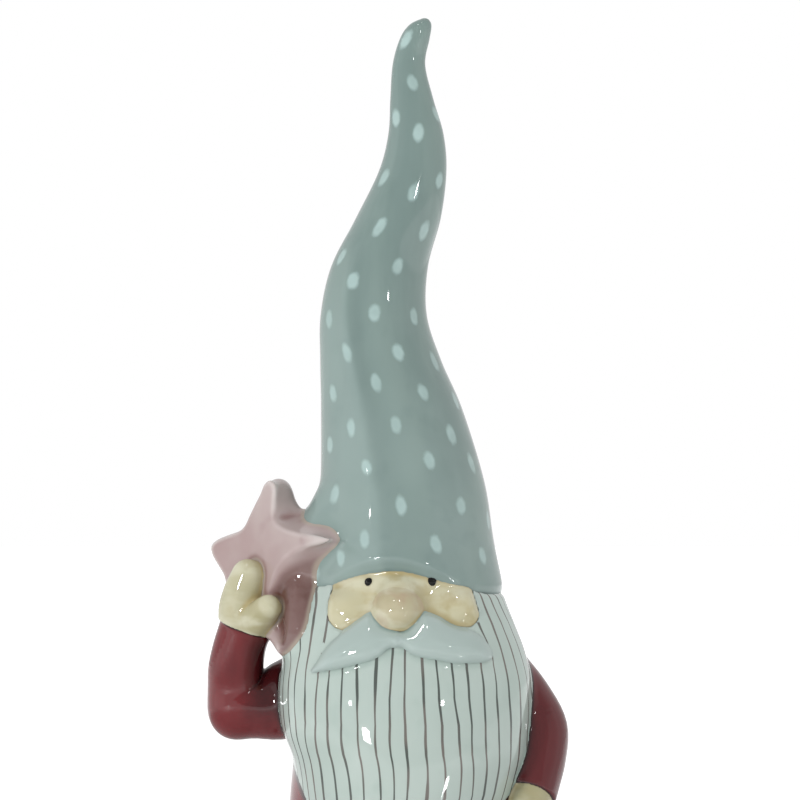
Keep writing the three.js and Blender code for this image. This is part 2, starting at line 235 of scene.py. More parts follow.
# Outlines seen from the front: x, z of each corner of a smooth closed curve
FACE_OUTLINE = [
    (-26.5, 212),
    (-29.5, 203),
    (-30.5, 195),
    (-28.5, 189),
    (-23, 186.5),
    (-12, 184),
    (0, 182),
    (12, 184),
    (24, 187.5),
    (29.8, 188.5),
    (32.5, 192.5),
    (31, 199),
    (28.5, 206),
    (26, 212),
    (0, 222),
]
MOUSTACHE_RIGHT = [
    (1.5, 186.5),
    (-5.3, 189.2),
    (-9, 192),
    (-12.5, 194),
    (-16, 192.2),
    (-22.5, 187.5),
    (-29.5, 181.5),
    (-34.5, 174.5),
    (-37, 169.8),
    (-31.9, 170.2),
    (-25.9, 171.3),
    (-21.2, 172.4),
    (-16.5, 173.6),
    (-11, 175.2),
    (-7.3, 177),
    (-3.5, 180),
    (1.5, 181.4),
]
MOUSTACHE_LEFT = [
    (-1.5, 186.5),
    (3, 187.6),
    (6.5, 191),
    (10.5, 194.4),
    (16, 193),
    (20.1, 190.5),
    (24.2, 188.6),
    (29.5, 187.4),
    (33.5, 185),
    (37, 181),
    (38.5, 177),
    (37, 174.6),
    (32.5, 174),
    (23.6, 174),
    (16.8, 175.2),
    (10, 176.4),
    (5.5, 177.9),
    (2, 180.3),
    (-1.5, 181.4),
]
MOUSTACHE_RELIEF = 4.6  # how far a moustache stands off the beard
MOUSTACHE_SLOPE = 11  # how far inside its outline it gets there
MOUSTACHE_EDGE = 1.5  # and how softly its edge is rounded

STAR = {
    "centre": (-56, -5, 210.8),
    "thick": 16.6,
    "turn": math.radians(44),
    "front_edge": 1.8,  # how softly its edges are rounded
    "back_edge": 6,
    "tip_blend": 4,  # how softly its tip and its root run into it
    "root_blend": 9,
}
# Its front and back outlines in its own plane: across, up. The walls between them slope.
STAR_FRONT = [
    (6.4, 39.6),
    (10, 36.5),
    (9.2, 29),
    (8.8, 22.6),
    (15, 18.6),
    (28, 16.2),
    (40, 15.4),
    (48.5, 14),
    (40, 12),
    (29.4, 10.4),
    (19.5, 6.4),
    (11.2, 0.6),
    (6, -7.8),
    (5.5, -15),
    (8.5, -24),
    (13, -32.5),
    (4, -27),
    (-6, -17),
    (-18, -27),
    (-24, -30),
    (-23, -14),
    (-25, -3),
    (-28.4, 1.3),
    (-33.5, 6.8),
    (-34.6, 11),
    (-30.6, 14),
    (-23.2, 16),
    (-12.8, 18.7),
    (-7.2, 25),
    (-0.8, 33),
    (2.2, 37.8),
]
STAR_BACK = [
    (-7.4, 41.9),
    (-1.6, 40.8),
    (2.4, 36.8),
    (7, 31),
    (11.4, 26),
    (17, 23.6),
    (24, 22),
    (32.4, 19.6),
    (36.6, 14.5),
    (34, 9),
    (31.5, 3),
    (31, -4),
    (33, -12),
    (34, -19),
    (30, -26),
    (20, -31),
    (10, -33.4),
    (2.4, -32.4),
    (-3, -29.4),
    (-13, -25),
    (-24, -31),
    (-23, -16),
    (-17, -4),
    (-26, 2),
    (-33, 10),
    (-26, 15),
    (-15, 19),
    (-13, 29),
    (-10, 38),
]
STAR_TIP = (-54.4, -5, 246, 4.4, 6, 4.4)  # rounds its upper tip
# Where the star's lower tip is luted to the beard
STAR_ROOT = [
    (-43.6, -13, 211, 4, 4),
    (-43.4, -16.6, 203, 6.4, 6.4),
    (-43.2, -19, 194, 7, 7),
    (-42.6, -22.4, 187, 6.4, 6.4),
    (-44.2, -22.4, 182.2, 4.6, 4.6),
]
EYE = {"x": 13.1, "z": 207.2, "radius": 1.75, "thick": 0.9}
EYE_SEARCH = np.linspace(-60, -20, 801)  # the depths, from the front, where the brow is looked for

# --- Distance fields ------------------------------------------------------------------------------------

TINY = 1e-9  # keeps a divisor from being 0
STACK_STEPS, LIMB_STEPS = 10, 5  # steps of the curve between two stations


def scaled(rows):
    return np.array(rows, float) * UNIT


def smooth_min(a, b, k):
    """The smaller of two distances, k / 4 less where they are equal, with a soft change between them."""
    h = np.clip(1 - np.abs(a - b) / (1.5 * k), 0, None)
    return np.minimum(a, b) - h * h * h * (0.25 * k)


def smooth_max(a, b, k):
    return -smooth_min(-a, -b, k)


def curve_through(rows, steps=STACK_STEPS):
    """A Catmull-Rom curve through rows of any width, as the CAD castings use."""
    p = scaled(rows)
    p = np.vstack([2 * p[0] - p[1], p, 2 * p[-1] - p[-2]])
    found = []
    for a, b, c, d in zip(p, p[1:], p[2:], p[3:]):
        for t in np.arange(steps) / steps:
            found.append(
                b
                + 0.5 * t * (c - a)
                + t * t * (a - 2.5 * b + 2 * c - 0.5 * d)
                + 0.5 * t**3 * (3 * b - a - 3 * c + d)
            )
    found.append(p[-2])
    return np.array(found)


def level_value(z, heights, column):
    return np.interp(z, heights, column).astype(np.float32)


def stack(rows, x, y, z, rim=2):
    """Distance to horizontal sections skinned from the bottom up, with a rounded bottom edge."""
    table = curve_through(rows)
    heights, columns = table[:, 0], table[:, 1:].T
    half_x, half_y, mid_x, mid_y = (level_value(z, heights, column) for column in columns)
    slopes = [level_value(z, heights, np.gradient(column, heights)) for column in columns]
    dx = (x - mid_x) / half_x
    dy = (y - mid_y) / half_y
    q = np.sqrt(dx * dx + dy * dy) + TINY
    flat = np.sqrt((dx / half_x) ** 2 + (dy / half_y) ** 2) / q
    rise = dx * dx * slopes[0] / half_x + dy * dy * slopes[1] / half_y
    rise = (rise + dx * slopes[2] / half_x + dy * slopes[3] / half_y) / q
    side = (q - 1) / np.sqrt(flat * flat + rise * rise + TINY)
    return np.maximum(smooth_max(side, heights[0] - z, rim), z - heights[-1])


def limb(rows, x, y, z):
    """Distance to a chain of round cones along a curve, squeezed in depth."""
    table = curve_through(rows, LIMB_STEPS).astype(np.float32)
    found = None
    for a, b in zip(table, table[1:]):
        ax, ay, az = (b - a)[:3]
        t = ((x - a[0]) * ax + (y - a[1]) * ay + (z - a[2]) * az) / (ax * ax + ay * ay + az * az)
        t = np.clip(t, 0, 1)
        high = a[3] + t * (b[3] - a[3])
        deep = a[4] + t * (b[4] - a[4])
        squeeze = high / deep
        off = (x - a[0] - t * ax) ** 2 + ((y - a[1] - t * ay) * squeeze) ** 2 + (z - a[2] - t * az) ** 2
        d = np.sqrt(off) - high
        found = d if found is None else np.minimum(found, d)
    return found


def lump(row, x, y, z):
    cx, cy, cz, a, b, c = scaled(row).astype(np.float32)
    px, py, pz = (x - cx) / a, (y - cy) / b, (z - cz) / c
    q = np.sqrt(px * px + py * py + pz * pz) + TINY
    return (q - 1) * q / np.sqrt((px / a) ** 2 + (py / b) ** 2 + (pz / c) ** 2 + TINY)


def beyond(rows, lead, x, y, z):
    """Signed distance past the plane square to a sleeve at its cuff."""
    p = scaled(rows)[:, :3]
    along = p[CUFF + 1] - p[CUFF - 1]
    along /= np.linalg.norm(along)
    x0, y0, z0 = p[CUFF] + along * lead * UNIT
    return (x - x0) * along[0] + (y - y0) * along[1] + (z - z0) * along[2]


def before_lift(x, y, z):
    """The height that a point of the hat had before its brim was lifted over the face."""
    forward = np.clip(-y * math.cos(BRIM_PEAK) - x * math.sin(BRIM_PEAK), 0, None)
    back = np.clip(y, 0, None)
    lift = BRIM_LIFT * UNIT * (forward / (BRIM_FRONT * UNIT)) ** BRIM_ARCH
    lift = lift - BRIM_DROP * back**2 / (back + BRIM_NAPE * UNIT)
    top, fade = (BRIM + BRIM_FADE) * UNIT, BRIM_FADE * UNIT
    faded = (z * fade - lift * top) / (fade - lift)
    level = np.where(faded < top, faded, z)
    return np.where(level < BRIM * UNIT, z - lift, level).astype(np.float32)


def fold_offset(x, y, z):
    """How far round the hat a point is from the crest of its fold, in radians, towards the hat's middle."""
    table = curve_through(HAT)
    mid_x, mid_y = (level_value(z, table[:, 0], table[:, k]) for k in (3, 4))
    crest = FOLD["angle"] + FOLD["lean"] * (z / UNIT - FOLD["middle"])
    return np.arctan2(x - mid_x, mid_y - y) - crest


def hump(value, width):
    """1 where the value is 0, falling softly to 0 over a few widths."""
    return np.exp(-((value / width) ** 2))


def fold_height(x, y, z):
    """How far the fold raises the hat's surface, or lowers it beside the crest."""
    off = fold_offset(x, y, z)
    crest = hump(off, FOLD["width"])
    hollow = FOLD["hollow"] * hump(off - FOLD["hollow_angle"], FOLD["hollow_width"])
    beyond_end = np.abs(z - FOLD["middle"] * UNIT) - FOLD["half_length"] * UNIT
    reach = hump(np.clip(beyond_end, 0, None), FOLD["fade"] * UNIT)
    return FOLD["rise"] * (crest - hollow) * reach


def hat_shape(x, y, z):
    cone = stack(HAT, x, y, before_lift(x, y, z), BRIM_ROUND)
    return smooth_min(cone - fold_height(x, y, z), lump(STAR_SEAT, x, y, z), SEAT_BLEND)


def face_shape(x, y, z):
    features = smooth_min(beard_body(x, y, z) + FACE_DEPTH, lump(BROW, x, y, z), BROW_BLEND)
    for row in (*CHEEKS, BRIDGE):
        features = smooth_min(features, lump(row, x, y, z), CHEEK_BLEND)
    features = smooth_max(features, face_outline(x, z) + FACE_INSET, FACE_EDGE)
    return smooth_min(stack(HEAD, x, y, z), features, HEAD_BLEND)


def nose_shape(x, y, z):
    return lump(NOSE, x, y, z)


OUTLINE_STEPS = 5  # steps of the curve between two corners of an outline
OUTLINE_CELL, OUTLINE_ROOM = 0.5, 14  # the grid on which its distances are kept, and how far outside it


def loop_distances(loop, u, v):
    """Signed distances from a grid's points to a closed loop of points, negative inside it."""
    nearest = np.full((u.size, v.size), np.inf)
    inside = np.zeros(nearest.shape, bool)
    for (ax, az), (bx, bz) in zip(loop, loop[1:]):
        t = ((u - ax) * (bx - ax) + (v - az) * (bz - az)) / ((bx - ax) ** 2 + (bz - az) ** 2)
        t = np.clip(t, 0, 1)
        nearest = np.minimum(nearest, (u - ax - t * (bx - ax)) ** 2 + (v - az - t * (bz - az)) ** 2)
        inside ^= ((az > v) != (bz > v)) & (u < ax + (v - az) * (bx - ax) / (bz - az + TINY))
    return (np.sqrt(nearest) * np.where(inside, -1, 1)).astype(np.float32)


def outline_distance(corners):
    """Signed distance to a smooth closed curve in a plane, as a function of a point in that plane."""
    corners = [corners[-1], *corners, corners[0], corners[1]]
    loop = curve_through(corners, OUTLINE_STEPS)[OUTLINE_STEPS:-OUTLINE_STEPS]
    low = loop.min(axis=0) - OUTLINE_ROOM
    size = np.ceil((loop.max(axis=0) + OUTLINE_ROOM - low) / OUTLINE_CELL).astype(int) + 1
    u, v = (low[k] + OUTLINE_CELL * np.arange(size[k]) for k in range(2))
    table = loop_distances(loop, u[:, None], v[None, :])
    last = size - 1.001

    def distance(across, up):
        i = np.clip((across - low[0]) / OUTLINE_CELL, 0, last[0])
        j = np.clip((up - low[1]) / OUTLINE_CELL, 0, last[1])
        i0, j0 = i.astype(int), j.astype(int)
        s, t = (i - i0).astype(np.float32), (j - j0).astype(np.float32)
        lower = table[i0, j0] * (1 - s) + table[i0 + 1, j0] * s
        upper = table[i0, j0 + 1] * (1 - s) + table[i0 + 1, j0 + 1] * s
        return lower * (1 - t) + upper * t

    return distance


face_outline = outline_distance(FACE_OUTLINE)
star_outlines = outline_distance(STAR_FRONT), outline_distance(STAR_BACK)


def beard_body(x, y, z):
    return stack(BEARD, x, y, z)


def beard_shape(x, y, z):
    shape = smooth_max(beard_body(x, y, z), y - CUT * UNIT, BEARD_BACK_EDGE)
    shape = smooth_max(shape, before_lift(x, y, z) - BRIM * UNIT, BEARD_EDGE)
    return smooth_max(shape, -face_outline(x, z), BEARD_EDGE)


def moustache_shape(corners):
    outline = outline_distance(corners)

    def shape(x, y, z):
        inside = -outline(x, z)
        rise = np.clip(inside / (MOUSTACHE_SLOPE * UNIT), 0, 1)
        relief = MOUSTACHE_RELIEF * UNIT * np.sqrt(1 - (1 - rise) ** 2)
        return smooth_max(beard_body(x, y, z) - relief, -inside, MOUSTACHE_EDGE)

    return shape


def coat_shape(x, y, z):
    kept = np.maximum(y - (CUT - COAT_OVERLAP) * UNIT, NECK * UNIT - z)
    return smooth_max(stack(COAT, x, y, z, COAT_HEM), -kept, COAT_EDGE)


def star_plane(x, y, z):
    """Across, up and deep from the star's middle, in millimetres."""
    cx, cy, cz = scaled(STAR["centre"])
    across = (x - cx) * math.cos(STAR["turn"]) - (y - cy) * math.sin(STAR["turn"])
    deep = (x - cx) * math.sin(STAR["turn"]) + (y - cy) * math.cos(STAR["turn"])
    across, up = np.broadcast_arrays(across.astype(np.float32), (z - cz).astype(np.float32))
    return across, up, deep


def beyond_face(x, y, z):
    """How far a point is outside the outline of the star's face, seen square to it."""
    across, up, _ = star_plane(x, y, z)
    return star_outlines[0](across, up)


def star_shape(x, y, z):
    across, up, deep = star_plane(x, y, z)
    thick = STAR["thick"] * UNIT
    front, back = star_outlines
    part = np.clip(deep / thick + 0.5, 0, 1)
    walls = front(across, up) * (1 - part) + back(across, up) * part
    shape = smooth_max(walls, -deep - thick / 2, STAR["front_edge"])
    shape = smooth_max(shape, deep - thick / 2, STAR["back_edge"])
    shape = smooth_min(shape, lump(STAR_TIP, x, y, z), STAR["tip_blend"])
    return smooth_min(shape, limb(STAR_ROOT, x, y, z), STAR["root_blend"])


def raised_sleeve_shape(x, y, z):
    shape = smooth_min(limb(RAISED_SLEEVE, x, y, z), lump(ELBOW, x, y, z), ELBOW_BLEND)
    return smooth_max(shape, beyond(RAISED_SLEEVE, RAISED_CUFF, x, y, z), CUFF_EDGE)


def raised_hand_shape(x, y, z):
    hand = smooth_min(limb(RAISED_FINGERS, x, y, z), limb(RAISED_THUMB, x, y, z), THUMB_BLEND)
    return np.maximum(hand, -beyond(RAISED_SLEEVE, RAISED_CUFF, x, y, z))


def lowered_sleeve_shape(x, y, z):
    cuff = beyond(LOWERED_SLEEVE, LOWERED_CUFF, x, y, z)
    return smooth_max(limb(LOWERED_SLEEVE, x, y, z), cuff, CUFF_EDGE)


def lowered_hand_shape(x, y, z):
    return np.maximum(limb(LOWERED_HAND, x, y, z), -beyond(LOWERED_SLEEVE, LOWERED_CUFF, x, y, z))


def eye_shape(side):
    """A bead of black glaze lying on the brow, wherever the brow is at that height."""
    across, up, radius = side * EYE["x"], EYE["z"], EYE["radius"]
    here = np.ones_like(EYE_SEARCH)
    brow = face_shape(across * UNIT * here, EYE_SEARCH * UNIT, up * UNIT * here)
    surface = EYE_SEARCH[np.argmax(brow < 0)]
    return lambda x, y, z: lump((across, surface, up, radius, EYE["thick"], radius), x, y, z)


def boot_shape(side):
    rows = [(up, wide, deep, across + side * BOOT_OFFSET, out) for up, wide, deep, across, out in BOOT]
    return lambda x, y, z: stack(rows, x, y, z, BOOT_SOLE)


# Each piece: the CAD node it stands for, its field, how softly it blends into the pieces before it,
# the size of its mesh's cells, and its glaze.
Piece = namedtuple("Piece", "node field blend cell glaze")
PIECES = [
    Piece("coat_casting", coat_shape, 1, 1.25, "burgundy"),
    Piece("hat_casting", hat_shape, 2.5, 0.9, "sage"),
    Piece("beard_casting", beard_shape, 2, 0.75, "striped"),
    Piece("head_casting", face_shape, 2.5, 0.75, "skin"),
    Piece("nose", nose_shape, 5, 0.6, "blush"),
    Piece("moustache_right", moustache_shape(MOUSTACHE_RIGHT), 2.2, 0.6, "white"),
    Piece("moustache_left", moustache_shape(MOUSTACHE_LEFT), 2.2, 0.6, "white"),
    Piece("raised_sleeve", raised_sleeve_shape, 3, 0.65, "burgundy"),
    Piece("lowered_sleeve", lowered_sleeve_shape, 3, 0.65, "burgundy"),
    Piece("star", star_shape, 7, 0.7, "rose"),
    Piece("raised_hand", raised_hand_shape, 1.6, 0.6, "hand"),
    Piece("lowered_hand", lowered_hand_shape, 1.6, 0.6, "hand"),
    Piece("eye_right", eye_shape(-1), 0.5, 0.25, "black"),
    Piece("eye_left", eye_shape(1), 0.5, 0.25, "black"),
    Piece("boot_right", boot_shape(-1), 2, 0.8, "charcoal"),
    Piece("boot_left", boot_shape(1), 2, 0.8, "charcoal"),
]
SLOTS = {piece.glaze: f"{piece.glaze}_glaze" for piece in PIECES}
SLOTS |= {"striped": "white_glaze", "blush": "skin_glaze", "hand": "skin_glaze"}
DIVE = 2.5  # how steeply a piece goes under its neighbour where they meet

# --- Meshing --------------------------------------------------------------------------------------------

ROOM = 10  # how far round a CAD node's box its piece's field is followed
FAR = 50.0  # stands for any distance beyond that
NEAR = 8.0  # distances from the skin are cut off here before its bends are measured
POOL_WIDTH = 1.6  # how far round a point the glaze feels its hollows and ridges


def reach_of(piece):
    low, high = box_mm(piece.node)
    return low - ROOM, high + ROOM


def part_within(axes, piece):
    """The slices of a block of cells that a piece's field reaches, or None."""
    low, high = reach_of(piece)
    spans = [(np.searchsorted(axis, a), np.searchsorted(axis, b)) for axis, a, b in zip(axes, low, high)]
    if any(start == end for start, end in spans):
        return None
    return tuple(slice(start, end) for start, end in spans)


def fields_in(axes, chosen):
    """Over a block of cells: the common glaze surface, the chosen piece's own field, the nearest other
    piece's, and the nearest of another glaze."""
    glazed, own, rival, stranger = (np.full([len(a) for a in axes], FAR, np.float32) for _ in range(4))
    for piece in PIECES:
        part = part_within(axes, piece)
        if part is None:
            continue
        grid = np.meshgrid(*(axis[s] for axis, s in zip(axes, part)), indexing="ij", sparse=True)
        d = np.broadcast_to(piece.field(*grid), glazed[part].shape).astype(np.float32)
        glazed[part] = smooth_min(glazed[part], d, piece.blend)
        target = own if piece is chosen else rival
        target[part] = np.minimum(target[part], d)
        if SLOTS[piece.glaze] != SLOTS[chosen.glaze]:
            stranger[part] = np.minimum(stranger[part], d)
    return glazed, own, rival, stranger


def sampled(volume, spots):
    """Values of a volume at fractional cell positions, linearly between cells."""
    base = np.clip(np.floor(spots).astype(int), 0, np.array(volume.shape) - 2)
    part = (spots - base).astype(np.float32)
    total = 0
    for corner in np.ndindex(2, 2, 2):
        weight = np.prod(np.where(corner, part, 1 - part), axis=1)
        total = total + weight * volume[tuple((base + corner).T)]
    return total


def blurred(volume, passes):
    """A volume averaged with its neighbours, again and again."""
    for _ in range(passes):
        for axis in range(3):
            moved = np.moveaxis(volume, axis, 0)
            smooth = moved.copy()
            smooth[1:-1] = 0.5 * moved[1:-1] + 0.25 * (moved[2:] + moved[:-2])
            volume = np.moveaxis(smooth, 0, axis)
    return volume


def bends(glazed, cell):
    """How hollow the skin is round each cell: above 0 on ridges, below 0 in hollows."""
    near = np.clip(glazed, -NEAR, NEAR)
    passes = max(1, round(2 * (POOL_WIDTH / cell) ** 2))
    return (blurred(near, passes) - near) / (passes * cell * cell / 4)


def sealed(value, cell):
    """A block whose outermost cells lie outside the skin, so that its mesh is closed."""
    for axis in range(3):
        for end in (0, -1):
            np.moveaxis(value, axis, 0)[end] = cell
    return value


def zero_surface(value):
    """Vertices in cells and faces where a block's values cross zero."""
    grid = openvdb.FloatGrid()
    grid.copyFromArray(np.ascontiguousarray(value, dtype=np.float32))
    return grid.convertToQuads(0.0)


def skin_of(piece):
    """Vertices in millimetres, faces, normals and measures of one piece of the glazed skin. The measures
    are how hollow the skin is at each vertex, and how far it is from the nearest piece of another glaze."""
    low, high = reach_of(piece)
    axes = [np.arange(a, b, piece.cell, dtype=np.float32) for a, b in zip(low, high)]
    glazed, own, rival, stranger = fields_in(axes, piece)
    value = glazed + DIVE * np.clip(own - rival, 0, None)
    spots, quads = zero_surface(sealed(value, piece.cell))
    normals = np.stack([sampled(slope, spots) for slope in np.gradient(glazed)], axis=1)
    normals /= np.linalg.norm(normals, axis=1, keepdims=True) + TINY
    bend = sampled(bends(glazed, piece.cell), spots)
    border = sampled(np.clip(stranger - own, -ROOM, ROOM), spots)
    return spots * piece.cell + low, quads, normals, {"bend": bend, "border": border}


def largest_body(points, quads):
    """The faces of the largest connected body, without crumbs."""
    label = np.arange(len(points))
    while True:
        lowest = label[quads].min(axis=1)
        before = label.copy()
        for corner in range(4):
            np.minimum.at(label, quads[:, corner], lowest)
        label = label[label]
        if (label == before).all():
            break
    names, counts = np.unique(label[quads[:, 0]], return_counts=True)
    return quads[label[quads[:, 0]] == names[counts.argmax()]]


def outward(points, quads):
    a, b, c, d = (points[quads[:, i]] for i in range(4))
    volume = np.einsum("ij,ij->", a, np.cross(b, c) + np.cross(c, d))
    return quads if volume > 0 else quads[:, ::-1]


def mesh_of(piece):
    points, quads, normals, measures = skin_of(piece)
    quads = outward(points, largest_body(points, quads))
    used, quads = np.unique(quads, return_inverse=True)
    quads = quads.reshape(-1, 4)
    points, normals = points[used], normals[used]
    mesh = bpy.data.meshes.new(piece.node + "_skin")
    mesh.vertices.add(len(points))
    mesh.vertices.foreach_set("co", (points * MM).astype(np.float32).ravel())
    mesh.loops.add(quads.size)
    mesh.loops.foreach_set("vertex_index", quads.ravel().astype(np.int32))
    mesh.polygons.add(len(quads))
    mesh.polygons.foreach_set("loop_start", np.arange(0, quads.size, 4, dtype=np.int32))
    mesh.update(calc_edges=True)
    mesh.polygons.foreach_set("use_smooth", np.ones(len(quads), bool))
    mesh.normals_split_custom_set_from_vertices(normals.tolist())
    for name, values in measures.items():
        add_attribute(mesh, name, values[used])
    return mesh, points


def add_attribute(mesh, name, values):
    attribute = mesh.attributes.new(name, "FLOAT", "POINT")
    attribute.data.foreach_set("value", np.asarray(values, np.float32))


# --- Painted patterns -----------------------------------------------------------------------------------

DAB = (2.7, 4.3)  # half width and half height of a brush dab
DAB_SIZES = (0.88, 1.08)  # the smallest and the largest, as shares of that
DAB_SEED = 5
DAB_TILT, DAB_LEAN = 0.12, 0.15  # how far a dab is turned at random, and how far it leans as the hat does
# Dabs on the front of the hat: height, then angle round the hat from the front, towards its left hand
DABS = [
    (440, -29),
    (421, 11),
    (408, 68),
    (406, -45),
    (399, 9),
    (380, -44),
    (379, 59),
    (373, 16),
    (358, -13),
    (357, 50),
    (346, -53),
    (341, 27),
    (335, -22),
    (321, 5),
    (320, 52),
    (319, -51),
    (304, -27),
    (304, 22),
    (301, 64),
    (291, -5),
    (287, -50),
    (287, 34),
    (284, 74),
    (273, 5),
    (272, -31),
    (269, 50),
    (265, -57),
    (258, 25),
    (257, 66),
    (255, -20),
    (244, -49),
    (239, 2),
    (239, 45),
    (233, 78),
    (225, -22),
    (223, 23),
    (218, 60),
    (217, -39),
    (212, -58),
]
BACK_TURNS = (148, 296)  # the front's pattern is painted again this far round
BACK_SPAN = (92, 288)  # where it doesn't run into itself


def all_dabs():
    yield from DABS
    for turn in BACK_TURNS:
        for height, angle in DABS:
            if BACK_SPAN[0] < angle + turn < BACK_SPAN[1]:
                yield height, angle + turn


def dab_distance(points):
    """How far each point is from its nearest dab: 0 at its middle, 1 at its edge."""
    x, y, z = points.T
    table = curve_through(HAT)
    radius, mid_x, mid_y = (np.interp(z, table[:, 0], table[:, k]) for k in (1, 3, 4))
    lean = np.interp(z, table[:, 0], np.gradient(table[:, 3], table[:, 0]))
    angle = np.degrees(np.arctan2(x - mid_x, mid_y - y))
    draw = np.random.default_rng(DAB_SEED)
    nearest = np.full(len(points), FAR)
    for height, at in all_dabs():
        wide, tall = (half * draw.uniform(*DAB_SIZES) for half in DAB)
        up = z - height * UNIT
        across = np.radians((angle - at + 180) % 360 - 180) * radius
        tilt = draw.uniform(-DAB_TILT, DAB_TILT) + DAB_LEAN * lean
        away = np.hypot((across - tilt * up) / (wide * UNIT), up / (tall * UNIT))
        nearest = np.minimum(nearest, away)
    return nearest


STRAND_HEIGHTS = (203, 190, 178, 160, 149, 137, 120)
# Painted lines down the beard: the angle of each at those heights
STRANDS = [
    (-108, -106, -104, -103, -103, -103, -104),
    (-99, -97, -95, -94, -94, -94, -95),
    (-92, -89, -87, -86, -86, -87, -88),
    (-84, -82, -79, -78, -78, -79, -81),
    (-76, -73, -71, -70, -70, -71, -73),
    (-70, -65, -63, -62, -62, -64, -66),
    (-64, -58, -56, -55.5, -55.5, -58, -60),
    (-58, -52, -48.7, -47.2, -47.4, -51, -52),
    (-44.5, -41, -38.4, -39.6, -40.5, -44, -44.4),
    (-35, -34, -32.5, -32.8, -33.2, -35.4, -35),
    (-27, -26, -25.8, -25.8, -25.8, -27.4, -25.6),
    (-20, -20, -19.3, -17.7, -17.8, -19.3, -18.1),
    (-11, -10, -9.6, -9.3, -9.5, -10.7, -9.3),
    (-1, -2, -2.3, -3.3, -3, -3.8, -2.2),
    (4, 4, 3.4, 3.3, 3.6, 3.1, 4.3),
    (9, 10, 11, 12.1, 12.8, 12.4, 14.1),
    (16, 17, 17.4, 18.4, 20.2, 20.5, 23.9),
    (23, 24, 24.8, 25.7, 28, 28.6, 32.4),
    (30, 31, 32, 33.1, 34.7, 35, 39.5),
    (37, 38, 40, 40.7, 42.1, 43.3, 47.7),
    (44, 44.7, 48, 48.5, 50.1, 51.5, 56),
    (52, 54.8, 55.6, 57.5, 59.5, 61, 65),
    (60.5, 64, 65, 67, 69, 70, 74),
    (69, 74, 75, 78, 81, 81, 84),
    (78, 83, 85, 87, 89, 89, 92),
    (87, 91, 94, 95, 97, 97, 99),
    (96, 99, 102, 103, 104, 104, 105),
]
FRONT_STRANDS = slice(8, 21)  # the lines that start at the moustache's lower edge
CHIN_STRANDS = slice(12, 16)  # those that start higher, between the moustache's halves
SHORT_STROKES = {8: (182, 195), 20: (178.5, 190.5)}  # brush marks above two lines: from and to which height
SWAYS = ((1, 11), (2, 5), (3, 3))  # waves of a painted line: how often, and how tall
SWAY_TURN = 2.1  # how differently two neighbouring lines wave, in radians
SWAY_REACH = 0.02  # how far, in widths between two lines
OUTER_MARGIN = 0.4  # no line is painted nearer than this to the first or the last strand


def among(line, span):
    return (line >= span.start) & (line < span.stop)


def strand_measures(points):
    """A phase that is a whole number on each painted line, and 1 where the line is painted."""
    x, y, z = points.T
    table = curve_through(BEARD)
    mid_x, mid_y, half_x, half_y = (np.interp(z, table[:, 0], table[:, k]) for k in (3, 4, 1, 2))
    angle = np.degrees(np.arctan2((x - mid_x) / half_x, (mid_y - y) / half_y))
    level = np.clip(z / UNIT, STRAND_HEIGHTS[-1], STRAND_HEIGHTS[0])
    lines = [np.interp(-level, [-h for h in STRAND_HEIGHTS], strand) for strand in STRANDS]
    phase = sum(np.clip((angle - a) / (b - a), 0, 1) for a, b in zip(lines, lines[1:]))
    sway = sum(np.sin(phase * SWAY_TURN * often + z / (UNIT * tall)) / often for often, tall in SWAYS)
    phase = phase + SWAY_REACH * sway
    line = np.round(phase).astype(int)
    painted = ~among(line, FRONT_STRANDS) | (z < NECK * UNIT) | among(line, CHIN_STRANDS)
    for index, (low, high) in SHORT_STROKES.items():
        painted |= (line == index) & (z > low * UNIT) & (z < high * UNIT)
    last = len(STRANDS) - 1
    return phase, painted & (phase > OUTER_MARGIN) & (phase < last - OUTER_MARGIN)


# --- Glazes ---------------------------------------------------------------------------------------------


def linear(red, green, blue):
    """Linear RGBA of an sRGB colour."""
    channels = (c / 255 for c in (red, green, blue))
    return (*(c / 12.92 if c < 0.04045 else ((c + 0.055) / 1.055) ** 2.4 for c in channels), 1)


